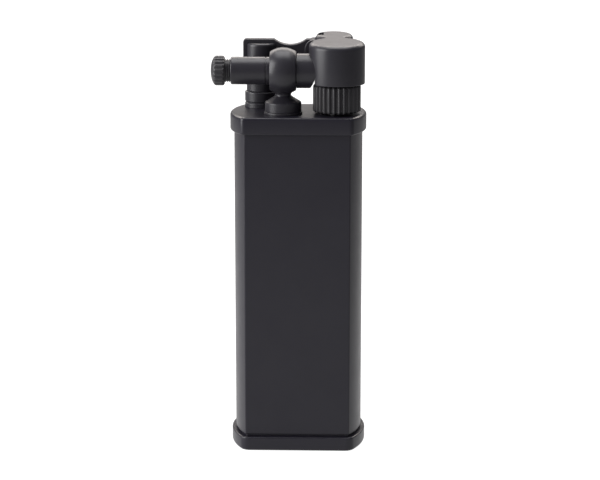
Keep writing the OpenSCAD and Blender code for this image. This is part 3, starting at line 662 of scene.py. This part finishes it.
RING_R, RING_BORE = 2.875, TUBE_R + SLIP
ring_profile = [
    (RING_R, ring_low[0]),
    (RING_R, tube_end),
    (RING_BORE, tube_end),
    (RING_BORE, ring_low[0]),
]
ring = shell_object("ring_skin", turned(ring_profile, [0.08, 0, 0, 0], (0, AXIS_Y, AXIS_Z), "x", True))
for piece, node in ((tube, "flint_tube"), (ring, "tube_ring")):
    mill(piece, drill(SADDLE_R, AXIS_Z - SADDLE_R, AXIS_Z + SADDLE_R, (*WHEEL, 0)))
    fit_piece(piece, "case", node, head_black, crease=32)

# %% [markdown]
# The screw's knob is domed and fluted so that fingers can turn it. Its flutes are cuts round the wall:
# each has a rounded section across the angle, starts part way down the dome and runs out at the back.

# %% Flint screw
screw_low, screw_high = box_mm("flint_screw")
KNOB_R, KNOB_LEN, KNOB_DOME, KNOB_EDGE = 2.475, 2.3, 0.95, 0.22
KNOB_FLUTES, FLUTE_POINTS, FLUTE_DEPTH, FLUTE_SHARP = 20, 16, 0.2, 1.6
FLUTE_START, FLUTE_STOP, FLUTE_END = 0.35, 0.05, 0.15
NECK_R, NECK_LEN, NECK_RINGS, NECK_GROOVE = 1.9, 1.0, 3, 0.16
STEM_R, NOSE_R = 1.25, 0.6


def flutes(count, depth, sharp, start, full, stop):
    """Depth of a ring of flutes: depth ((1 + cos(count a)) / 2)^sharp across the angle, and along the
    axis a smooth rise from start to full, with a smooth end at stop."""

    def cut(profile, angle):
        wave = ((1 + np.cos(count * angle)) / 2) ** sharp
        rise = np.clip((profile[:, 1] - start) / (full - start), 0, 1)
        fall = np.clip((stop - profile[:, 1]) / FLUTE_END, 0, 1)
        blend = rise * rise * (3 - 2 * rise) * fall
        return depth * blend[:, None] * wave[None, :]

    return cut


knob_back = screw_low[0] + KNOB_LEN
dome_angle = np.linspace(0, np.pi / 2, 25)
dome_x = screw_low[0] + KNOB_DOME * (1 - np.cos(dome_angle))
dome_points = np.column_stack([KNOB_R * np.sin(dome_angle), dome_x])
wall_x = np.linspace(screw_low[0] + KNOB_DOME, knob_back - KNOB_EDGE, 8)[1:]
wall_points = np.column_stack([np.full(len(wall_x), KNOB_R), wall_x])
ring_step = NECK_LEN / NECK_RINGS
ring_starts = knob_back + ring_step * np.arange(NECK_RINGS)
ring_places = np.column_stack([np.full(NECK_RINGS, NECK_R), ring_starts])
ring_shape = np.array([[-NECK_GROOVE, 0.02], [0, 0.1], [0, 0.22], [-NECK_GROOVE, 0.31]])
rings = (ring_places[:, None] + ring_shape[None]).reshape(-1, 2)
stem_end = screw_high[0] - STEM_R / 2
neck_end = knob_back + NECK_LEN
screw_profile = np.vstack(
    [
        dome_points,
        wall_points,
        [[KNOB_R - KNOB_EDGE, knob_back], [NECK_R - NECK_GROOVE, knob_back]],
        rings,
        [[NECK_R - NECK_GROOVE, neck_end], [STEM_R, neck_end], [STEM_R, stem_end], [NOSE_R, stem_end]],
        [[NOSE_R, screw_high[0]], [0, screw_high[0]]],
    ]
)
flute_start, flute_full = screw_low[0] + FLUTE_START, screw_low[0] + KNOB_DOME
knob_cut = flutes(KNOB_FLUTES, FLUTE_DEPTH, FLUTE_SHARP, flute_start, flute_full, knob_back - FLUTE_STOP)
screw_middle, screw_turns = (0, AXIS_Y, AXIS_Z), FLUTE_POINTS * KNOB_FLUTES
screw_grid = lathe(drop_repeats(screw_profile, False), screw_middle, "x", screw_turns, knob_cut)
screw = shell_object("screw_skin", (screw_grid, False))
fit_piece(screw, "screw", "flint_screw", grip_black, crease=45)

# %% [markdown]
# The thumb wheel is what the eye meets first on the head: a thick disc with rounded ridges all round.
# The ridges are what is left between narrow grooves, and both rims are turned to a quarter circle, so
# each ridge ends in a small rounded nose.

# %% Thumb wheel
wheel_low, wheel_high = box_mm("thumb_wheel")
THUMB_R, THUMB_RIDGES, THUMB_NOSE = 4.0, 28, 0.45
WEB_R, HUB_R, HUB_RISE, BUSH_R = 3.2, 2.475, 0.3, 1.67
RIDGE_POINTS, RIDGE_DEPTH, RIDGE_SHARP = 14, 0.36, 1.3
thumb_low, thumb_top = wheel_low[2], wheel_high[2] - HUB_RISE
nose = np.linspace(0, np.pi / 2, 8)
nose_r = THUMB_R - THUMB_NOSE * (1 - np.sin(nose))
nose_rise = THUMB_NOSE * (1 - np.cos(nose))
rim_low = np.column_stack([nose_r, thumb_low + nose_rise])
rim_high = np.column_stack([nose_r, thumb_top - nose_rise])[::-1]
wheel_profile = np.vstack(
    [
        [[BUSH_R, thumb_low], [WEB_R, thumb_low]],
        rim_low,
        rim_high,
        [[WEB_R, thumb_top], [HUB_R, thumb_top], [HUB_R, wheel_high[2]], [BUSH_R, wheel_high[2]]],
    ]
)


def ridge_cut(profile, angle):
    """Depth between the ridges: a rounded wave across the angle, only on the rim beyond its web."""
    wave = ((1 + np.cos(THUMB_RIDGES * angle)) / 2) ** RIDGE_SHARP
    rim = np.clip((profile[:, 0] - WEB_R) / (THUMB_R - THUMB_NOSE - WEB_R), 0, 1)
    return RIDGE_DEPTH * rim[:, None] * wave[None, :]


wheel_grid = lathe(wheel_profile, (*WHEEL, 0), "z", RIDGE_POINTS * THUMB_RIDGES, ridge_cut)
wheel = shell_object("wheel_skin", (wheel_grid, True))
fit_piece(wheel, "wheel", "thumb_wheel", grip_black, crease=45)

# %% [markdown]
# The hood covers the spark wheel. Seen from above it is two discs run together: a drum round the wheel
# and a post behind it that goes down to the deck. Its top slopes up to the rear and has a soft edge all
# round, so the rows of the top follow the outline inwards while they climb to the sloping plane. The
# bore, the slot for the tube and the slot for the arm are milled afterwards.

# %% Outline of the hood
HOOD_R, POST_R, HOOD_GAP, HOOD_TILT = 4.65, 3.25, 0.15, 4.1
POST = np.array([WHEEL[0] - POST_SHIFT, box_mm("wheel_hood")[1][1] - POST_R])
HOOD_LOW = box_mm("spark_wheel")[0][2] - HOOD_GAP
HOOD_FRONT_TOP = arm_high[2]
HOOD_SLOPE = math.tan(math.radians(HOOD_TILT))
apart = np.linalg.norm(POST - WHEEL)
waist = WHEEL + (POST - WHEEL) * (apart + HOOD_R - POST_R) / (2 * apart)


def ray_to_circle(angle, centre, radius):
    """Distance along rays from the hood's waist to the far side of a circle round a centre."""
    ray = np.stack([np.cos(angle), np.sin(angle)], -1)
    offset = centre - waist
    ahead = ray @ offset
    return ahead + np.sqrt(radius**2 - (offset @ offset - ahead**2))


def hood_outline(count, blend=20):
    """Two discs run together: on each ray from the waist the soft maximum of the far sides of the two
    circles, (d^n + p^n)^(1/n), which is the farther of them with a small fillet where they meet."""
    angle = np.linspace(0, 2 * np.pi, count, endpoint=False)
    drum = ray_to_circle(angle, WHEEL, HOOD_R)
    post = ray_to_circle(angle, POST, POST_R)
    near, far = np.minimum(drum, post), np.maximum(drum, post)
    reach = far * (1 + (near / far) ** blend) ** (1 / blend)
    return waist + reach[:, None] * np.stack([np.cos(angle), np.sin(angle)], -1)


print(f"hood's drum {2 * HOOD_R:.1f} mm across, its post {apart:.2f} mm behind")

# %% [markdown]
# The hood's block has a fine edge at its mouth and a wide soft edge at its top. The post is welded on
# below. Its tool is a hair smaller than the block's own post, and the tools of the next cell overlap the
# block in the same way, because a Boolean can fail where two faces lie on each other.

# %% Hood block
HOOD_EDGE, TOP_SUPPORT, MOUTH_EDGE = 0.75, 0.1, 0.12
OVERLAP, POST_WELD = 0.02, 2
hood_loop = hood_outline(240)
soft = np.linspace(0, np.pi / 2, 10)
mouth_insets = np.append(MOUTH_EDGE * (1 - np.cos(soft)), MOUTH_EDGE + SUPPORT)[::-1]
mouth_heights = HOOD_LOW + np.append(MOUTH_EDGE * (1 - np.sin(soft)), 0)[::-1]
top_insets = np.append(HOOD_EDGE * (1 - np.cos(soft)), HOOD_EDGE + TOP_SUPPORT)
top_drops = np.append(HOOD_EDGE * (1 - np.sin(soft)), 0)
hood_rows = inset_rows(hood_loop, np.concatenate([mouth_insets, top_insets]))
slope_top = HOOD_FRONT_TOP + HOOD_SLOPE * (hood_rows[..., 1] - WHEEL[1] + HOOD_R)
heights = slope_top - np.append(np.zeros(len(mouth_insets)), top_drops)[:, None]
heights[: len(mouth_insets)] = mouth_heights[:, None]
hood = shell_object("hood_skin", (np.dstack([hood_rows, heights]), False))
post_tool = drill(POST_R - OVERLAP, DECK, HOOD_LOW + POST_WELD, (*POST, 0))
mill(hood, post_tool, "UNION")
print("hood's block:", len(hood.data.polygons), "faces")

# %% [markdown]
# The fork that holds the hinge pin is a plate with a round end, welded to the hood's left side. Then the
# mill takes out the spindle's socket, the wheels' rooms, the U-shaped slot that the flint tube enters,
# the arm's slot and the holes of the pin and the screw.

# %% Fork and openings of the hood
FORK_FRONT, FORK_BACK = pin_low[1], pin_high[1]
FORK_FLOOR = box_mm("arm_spring")[0][2]
FORK_DEPTH, LUG_IN, LUG_EDGE, LUG_CORNER_R = 0.84, 1, 0.12, 0.3
fork_base = FORK_FLOOR - FORK_DEPTH
fork_left, fork_right = HINGE[0] - EYE_R, POST[0] - LUG_IN
lug = np.vstack(
    [
        [[fork_left, fork_base], [fork_right, fork_base], [fork_right, HINGE[1] + EYE_R]],
        arc(HINGE, EYE_R, math.pi / 2, math.pi, 17),
    ]
)
lug_radii = np.zeros(len(lug))
lug_radii[0] = LUG_CORNER_R
lug_loop = side_outline(lug, lug_radii)
mill(hood, shell_object("tool", (plate(lug_loop, FORK_FRONT, FORK_BACK, LUG_EDGE), False)), "UNION")

ROOM_H, SOCKET_H, HOOD_WALL = 4.7, 0.53, 0.8
SLOT_GAP, SLOT_STOP = 0.15, 0.3
ARM_GAP, EYE_GAP, ABOVE_HOOD, PIN_HOLE_R = 0.1, 0.15, 3, 0.62
ceiling = HOOD_LOW + ROOM_H
slot_half = RING_R + SLOT_GAP
mill(hood, drill(STEM_HOLE_R, ceiling - PAST, ceiling + SOCKET_H, (*WHEEL, 0)))
mill(hood, drill(HOOD_R - HOOD_WALL, HOOD_LOW - PAST, ceiling, (*WHEEL, 0)))
mill(hood, drill(WHEEL_ROOM_R, DECK - PAST, HOOD_LOW + OVERLAP, (*WHEEL, 0)))
slot_mouth = [[AXIS_Y - slot_half, HOOD_LOW - PAST], [AXIS_Y + slot_half, HOOD_LOW - PAST]]
slot_loop = np.vstack([arc((AXIS_Y, AXIS_Z), slot_half, 0, math.pi, 65), slot_mouth])
mill(hood, bar_tool(slot_loop, WHEEL[0] - HOOD_R - PAST, WHEEL[0] - SLOT_STOP))
arm_slot_low = (fork_left - PAST, BURNER[1] - ARM_T / 2 - ARM_GAP, FORK_FLOOR)
arm_slot_high = (HINGE[0] + EYE_R + EYE_GAP, BURNER[1] + ARM_T / 2 + ARM_GAP, HOOD_FRONT_TOP + ABOVE_HOOD)
mill(hood, block_tool(arm_slot_low, arm_slot_high))
mill(hood, drill(PIN_HOLE_R, FORK_FRONT - PAST, FORK_BACK + PAST, (HINGE[0], 0, HINGE[1]), "y"))
mill(hood, drill(SCREW_HOLE_R, DECK - PAST, DECK + SCREW_DEPTH, (*post_screw, 0)))
fit_piece(hood, "case", "wheel_hood", head_black, crease=32)

# %% [markdown]
# The works inside get the finishes of their trades: brass and two steels with fine lathe rings, the
# darker steel for the spark wheel and its spindle, then dull rubber, moulded tank plastic and grey flint.
# The spindle's washer takes the darker steel too, as painted shade where it shows under the thumb wheel.

# %% Brass, steel, rubber, plastic and flint
TARNISH_SCALE, WEAR_SCALE, MARK_WANDER = 260, 900, 1.5


def turned_metal(name, dark, light, gloss, rings, depth):
    """Metal with cloudy tarnish and close bands of lathe marks along the upright."""
    finish, nodes, links, shader, place = node_finish(name)
    tarnish = noise(nodes, links, place, TARNISH_SCALE, 6, 0.6)
    links.new(tint(nodes, links, tarnish, dark, light), shader.inputs["Base Color"])
    wear = noise(nodes, links, place, WEAR_SCALE, 4)
    links.new(spread(nodes, links, wear, *gloss), shader.inputs["Roughness"])
    marks = nodes.new("ShaderNodeTexWave")
    marks.bands_direction = "Z"
    marks.inputs["Scale"].default_value = rings
    marks.inputs["Distortion"].default_value = MARK_WANDER
    links.new(place, marks.inputs["Vector"])
    relief(nodes, links, shader, marks.outputs["Fac"], depth)
    shader.inputs["Metallic"].default_value = 1.0
    return finish


def moulded(name, dark, light, gloss, scale, depth):
    """A moulded or pressed material: mottled tint, uneven gloss and a fine grain."""
    finish, nodes, links, shader, place = node_finish(name)
    mottle = noise(nodes, links, place, scale / 6, 5, 0.6)
    links.new(tint(nodes, links, mottle, dark, light), shader.inputs["Base Color"])
    wear = noise(nodes, links, place, scale / 2, 3)
    links.new(spread(nodes, links, wear, *gloss), shader.inputs["Roughness"])
    relief(nodes, links, shader, noise(nodes, links, place, scale, 3), depth)
    return finish


brass = turned_metal("turned_brass", (0.47, 0.31, 0.11), (0.66, 0.47, 0.19), (0.24, 0.38), 1500, 1.5e-6)
# The darker steel is the spark wheel's and the spindle's own; on the spindle's washer it is painted shade
# under the thumb wheel.
spark_and_shade_tint = ((0.035, 0.035, 0.036), (0.075, 0.074, 0.074))
spark_steel_and_shade = turned_metal("spark_steel_and_shade", *spark_and_shade_tint, (0.4, 0.5), 2200, 2e-6)
steel = turned_metal("ground_steel", (0.36, 0.36, 0.37), (0.55, 0.55, 0.56), (0.25, 0.42), 2200, 1.2e-6)
rubber = moulded("seal_rubber", (0.012, 0.012, 0.012), (0.024, 0.023, 0.022), (0.62, 0.82), 2600, 4e-6)
plastic = moulded("tank_plastic", (0.56, 0.52, 0.44), (0.68, 0.64, 0.56), (0.42, 0.55), 1400, 2e-6)
flint_grey = moulded("flint_grey", (0.09, 0.09, 0.10), (0.20, 0.19, 0.19), (0.5, 0.7), 5200, 6e-6)
print("finishes:", *(finish.name for finish in (brass, spark_steel_and_shade, steel, rubber, plastic, flint_grey)))

# %% [markdown]
# Three springs work inside: under the burner's nozzle, behind the flint's plunger and over the filler's
# stem. Each is a round wire wound on a mandrel, with its end turns wound closer. The flint's spring goes
# with its plunger. The other two rest one end on a fixed seat and follow a moving piece with the other;
# here each is left fixed where it is made, on no body.

# %% Springs
SEAT_GAP, CLOSE_ENDS, SPRING_CREASE = 0.02, 0.6, 45
TURN_POINTS, WIRE_POINTS = 36, 14


def coil(name, node, wire, turns, axis="z"):
    """A helix that fills the node's box: angle 2 pi n t, and t - e sin(2 pi t) / (2 pi) of the free length
    along the axis. A circle of the wire's radius goes along it, between the outward direction and the
    one across that and the path."""
    low, high = box_mm(node)
    way = "xyz".index(axis)
    reach = (high - low)[way - 1] / 2 - wire
    free = (high - low)[way] - 2 * (wire + SEAT_GAP)
    t = np.linspace(0, 1, int(TURN_POINTS * turns) + 1)
    angle = 2 * np.pi * turns * t
    rise = free * (t - CLOSE_ENDS * np.sin(2 * np.pi * t) / (2 * np.pi))
    out = np.stack([np.cos(angle), np.sin(angle), np.zeros(len(t))], -1)
    path = reach * out + rise[:, None] * np.array([0, 0, 1])
    across = np.cross(np.gradient(path, axis=0), out)
    across /= np.linalg.norm(across, axis=1)[:, None]
    turn = np.linspace(0, 2 * np.pi, WIRE_POINTS, endpoint=False)[None, :, None]
    tube = path[:, None] + wire * (np.cos(turn) * out[:, None] + np.sin(turn) * across[:, None])
    base = (low + high) / 2
    base[way] = low[way] + wire + SEAT_GAP
    return shell_object(name, (np.roll(tube, way + 1, axis=-1) + base, False))


def seat_spring(piece, node):
    """A standing spring, shaded in steel and left fixed where it is made, in place of its node."""
    dress(piece, steel, SPRING_CREASE)
    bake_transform(piece)
    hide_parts(node)


seat_spring(coil("nozzle_coil", "nozzle_spring", 0.1, 2.5), "nozzle_spring")
seat_spring(coil("filler_coil", "filler_spring", 0.15, 6), "filler_spring")
flint_coil = coil("flint_coil", "flint_spring", 0.17, 6, "x")
fit_piece(flint_coil, "flint_carriage", "flint_spring", steel, SPRING_CREASE)

# %% [markdown]
# All other pieces keep their solids. They are listed by finish.

# %% Finishes on the solids that stay
kept = {
    brass: "valve_body wheel_bush burner_nozzle flint_plunger flame_adjuster filler_body filler_stem",
    steel: "plate_screws hinge_pin arm_spring",
    # The spindle's washer takes the darker steel as painted shade, where it shows under the thumb wheel.
    spark_steel_and_shade: "spark_wheel wheel_spindle spindle_washer",
    rubber: "tank_gasket valve_seal filler_seal adjuster_seal snuffer_pad",
    plastic: "fuel_tank tank_lid",
    flint_grey: "flint",
}
for finish, names in kept.items():
    for name in names.split():
        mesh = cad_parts[name].data
        mesh.materials.clear()
        mesh.materials.append(finish)
print("solids with a finish:", sum(len(names.split()) for names in kept.values()))

# %% [markdown]
# The lighter stands on a sweep of white paper, a floor that turns up into a wall behind it.

# %% Sweep
FLOOR_HALF, FLOOR_BACK, FLOOR_BEND = 3.0, 0.9, 0.6


def stage_floor(half, back, rise):
    """A floor that turns up into a wall behind: the profile of floor, quarter circle and wall, carried
    across the width."""
    a = np.linspace(-np.pi / 2, 0, 24)
    bend = np.column_stack([back + rise * np.cos(a), rise + rise * np.sin(a)])
    profile = np.vstack([[-half, 0], bend, [back + rise, half]])
    across = np.array([-half, half])
    x = np.broadcast_to(across[:, None], (2, len(profile)))
    y = np.broadcast_to(profile[:, 0], x.shape)
    z = np.broadcast_to(profile[:, 1], x.shape)
    points = np.stack([x, y, z], -1).reshape(-1, 3)
    first = np.arange(len(profile) - 1)
    faces = np.stack([first + len(profile), first + len(profile) + 1, first + 1, first], -1)
    mesh = bpy.data.meshes.new("sweep")
    mesh.from_pydata(points.tolist(), [], faces.tolist())
    return bpy.data.objects.new("sweep", mesh)


sweep = stage_floor(FLOOR_HALF, FLOOR_BACK, FLOOR_BEND)
bpy.context.scene.collection.objects.link(sweep)
sweep.data.polygons.foreach_set("use_smooth", np.ones(len(sweep.data.polygons), bool))
print(f"sweep {2 * FLOOR_HALF:.0f} m wide, {FLOOR_BACK} m to the bend")

# %% [markdown]
# The paper gives off light of its own, which is painted light, so hardly any shadow falls on it. Its glow
# is a painted pool of light: brightest close to the lighter, a little to its left, and fading with
# distance, so the flat front is lighter at its foot than at its top. For the camera the paper glows more
# than for the lighter, because a white background is brightened further when such a picture is finished.

# %% Glow of the paper
FIBRE_SCALE, PAPER_ROUGH = 30, 0.9
GLOW_SPOT, GLOW_NEAR, GLOW_FAR = (-0.08, -0.08, 0), 0.03, 0.36
GLOW_STRONG, GLOW_WEAK, CAMERA_GLOW = 0.9, 0.2, 0.97
paper, nodes, links, shader, place = node_finish("glowing_white_paper")
fibres = noise(nodes, links, place, FIBRE_SCALE, 3)
links.new(tint(nodes, links, fibres, (0.10, 0.10, 0.10), (0.13, 0.13, 0.13)), shader.inputs["Base Color"])
shader.inputs["Roughness"].default_value = PAPER_ROUGH
shader.inputs["Emission Color"].default_value = (1, 1, 1, 1)
# The emission is painted light: a pool of glow round GLOW_SPOT that fades with distance and lights the
# lighter.
away = nodes.new("ShaderNodeVectorMath")
away.operation = "DISTANCE"
away.inputs[1].default_value = GLOW_SPOT
links.new(place, away.inputs[0])
fade = nodes.new("ShaderNodeMapRange")
fade.inputs["From Min"].default_value = GLOW_NEAR
fade.inputs["From Max"].default_value = GLOW_FAR
fade.inputs["To Min"].default_value = GLOW_STRONG
fade.inputs["To Max"].default_value = GLOW_WEAK
links.new(away.outputs["Value"], fade.inputs["Value"])
glow = nodes.new("ShaderNodeMapRange")
glow.inputs["To Max"].default_value = CAMERA_GLOW
links.new(fade.outputs["Result"], glow.inputs["To Min"])
links.new(nodes.new("ShaderNodeLightPath").outputs["Is Camera Ray"], glow.inputs["Value"])
links.new(glow.outputs["Result"], shader.inputs["Emission Strength"])
sweep.data.materials.append(paper)
print("glow of the paper:", GLOW_STRONG, "down to", GLOW_WEAK, "and for the camera", CAMERA_GLOW)

# %% [markdown]
# A softbox on the left draws the upright highlight on the hood and the ball. A warm one behind shines
# over the top faces at a low angle and turns them pale, and a third hangs overhead. Towards the camera the
# room is dim.

# %% Room and lights
ROOM_STRENGTH = 0.30
room = bpy.data.worlds.new("room")
bpy.context.scene.world = room
room.use_nodes = True
sky = room.node_tree.nodes["Background"]
sky.inputs["Color"].default_value = (0.92, 0.90, 1.0, 1)
sky.inputs["Strength"].default_value = ROOM_STRENGTH


def softbox(name, place, aim, size, power, colour=(1, 1, 1)):
    """A rectangular light of a width and height at a place, facing a point."""
    lamp = bpy.data.lights.new(name, "AREA")
    lamp.shape = "RECTANGLE"
    lamp.size, lamp.size_y = size
    lamp.energy = power
    lamp.color = colour
    holder = bpy.data.objects.new(name, lamp)
    bpy.context.scene.collection.objects.link(holder)
    holder.location = place
    holder.rotation_euler = (Vector(aim) - Vector(place)).to_track_quat("-Z", "Y").to_euler()


softbox("left_box", (-0.46, -0.16, 0.20), (0, 0, 0.05), (0.36, 0.50), 5.2)
softbox("back_box", (0.0, 0.60, 0.46), (0, 0, 0.06), (1.10, 0.26), 5.0, (1, 0.93, 0.88))
softbox("top_box", (0.0, 0.12, 0.70), (0, 0, 0.05), (0.60, 0.50), 5.5)

# %% [markdown]
# The camera stands a little to the right of the front and a little above, as a long lens on a product
# table does. Its distance is five times the lighter's height, which gives the weak perspective of the
# picture.

# %% Camera
CAMERA_TURN, CAMERA_LIFT, CAMERA_FAR = math.radians(1.715), math.radians(12.749), 0.350
FOCAL_PX, FRAME_PX, SENSOR = 2052.4, 600, 36.0
target = Vector((0.27, 0, 35.20)) * MM
level = math.cos(CAMERA_LIFT)
back = Vector((math.sin(CAMERA_TURN) * level, -math.cos(CAMERA_TURN) * level, math.sin(CAMERA_LIFT)))
lens = bpy.data.cameras.new("camera")
lens.sensor_width = SENSOR
lens.lens = FOCAL_PX / FRAME_PX * SENSOR
lens.clip_start = 0.01
camera = bpy.data.objects.new("camera", lens)
bpy.context.scene.collection.objects.link(camera)
camera.location = target + CAMERA_FAR * back
camera.rotation_euler = back.to_track_quat("Z", "Y").to_euler()
bpy.context.scene.camera = camera
bpy.context.scene.view_settings.view_transform = "Standard"
print(f"lens {lens.lens:.1f} mm")
